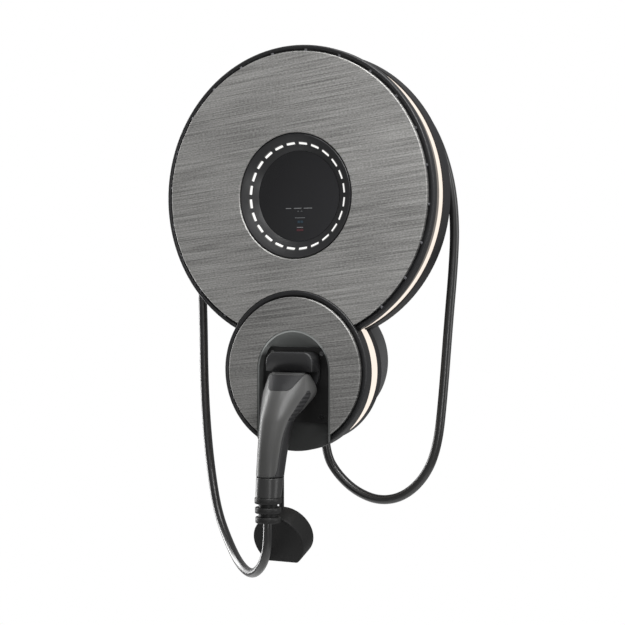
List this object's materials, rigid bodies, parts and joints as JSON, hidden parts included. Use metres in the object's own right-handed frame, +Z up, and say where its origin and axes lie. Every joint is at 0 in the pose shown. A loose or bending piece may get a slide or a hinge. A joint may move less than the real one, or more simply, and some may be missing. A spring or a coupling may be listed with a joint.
{
  "type": "ev wallbox",
  "caption": "Wall-hung car charging station: a large round lit unit with a display, a smaller round dock below it, and a charging connector parked on its cable.",
  "frame": {"origin": "centre of the four wall bolts on the wall plane, on the axis of the large disc", "axes": "+X to the right seen from the front, +Y into the wall, +Z up"},
  "size_m": [0.3933, 0.203, 0.6944],
  "materials": {
    "brushed_plate": "brushed",
    "anthracite": "satin",
    "housing_grey": "matte",
    "light_strip": "frosted, lit from inside",
    "light_white": "lit from inside",
    "recess_black": "satin",
    "recess_grey": "satin",
    "display_dark": "gloss",
    "hood_black": "satin",
    "shell_grey": "satin",
    "grip_rubber": "ribbed",
    "soft_black": "matte",
    "cable_black": "soft sheen",
    "gland_black": "matte",
    "contact_metal": "plated",
    "screw_steel": "bright",
    "bracket_steel": "zinc plated",
    "board_green": "solder mask",
    "device_grey": "moulded"
  },
  "bodies": {
    "root": {"wall_bracket": "bracket_steel", "bracket_screws": "screw_steel", "rear_housing": "housing_grey", "supply_grommet": "soft_black", "housing_gasket": "soft_black", "rear_ring": "anthracite", "cover_screws": "screw_steel", "light_carrier": "light_white", "light_ring": "light_strip", "front_rim": "anthracite", "front_plate": "brushed_plate", "display_bezel": "recess_black", "display_window": "display_dark", "led_segments": "light_white", "display_board": "board_green", "control_board": "board_green", "contactor": "device_grey", "energy_meter": "device_grey", "power_supply": "device_grey", "terminal_block": "device_grey", "residual_sensor": "device_grey", "dock_rear_ring": "anthracite", "dock_light_carrier": "light_white", "dock_light_ring": "light_strip", "dock_rim": "anthracite", "dock_plate": "brushed_plate", "dock_liner": "recess_grey", "dock_socket": "recess_black", "dock_screws": "screw_steel", "cable_gland": "gland_black", "gland_nut": "gland_black", "cable_main": "cable_black"},
    "connector": {"connector_nose": "hood_black", "pin_carrier": "gland_black", "contacts": "contact_metal", "handle_front_shell": "shell_grey", "handle_back_shell": "hood_black", "grip_left": "grip_rubber", "grip_right": "grip_rubber", "label_panel": "hood_black", "lower_collar": "hood_black", "strain_relief": "soft_black", "tether_anchor": "hood_black", "cable_tail": "cable_black"},
    "cap": {"protective_cap": "soft_black"}
  },
  "joints": [
    {"name": "connector_pull", "type": "slide", "parent": "root", "child": "connector", "axis": [0, -1, 0], "range_m": [0, 0.045]},
    {"name": "cap_swing", "type": "hinge", "parent": "connector", "child": "cap", "pos_m": [-0.006, -0.139, -0.299], "axis": [1, 0, 0], "range_deg": [0, 25]}
  ]
}
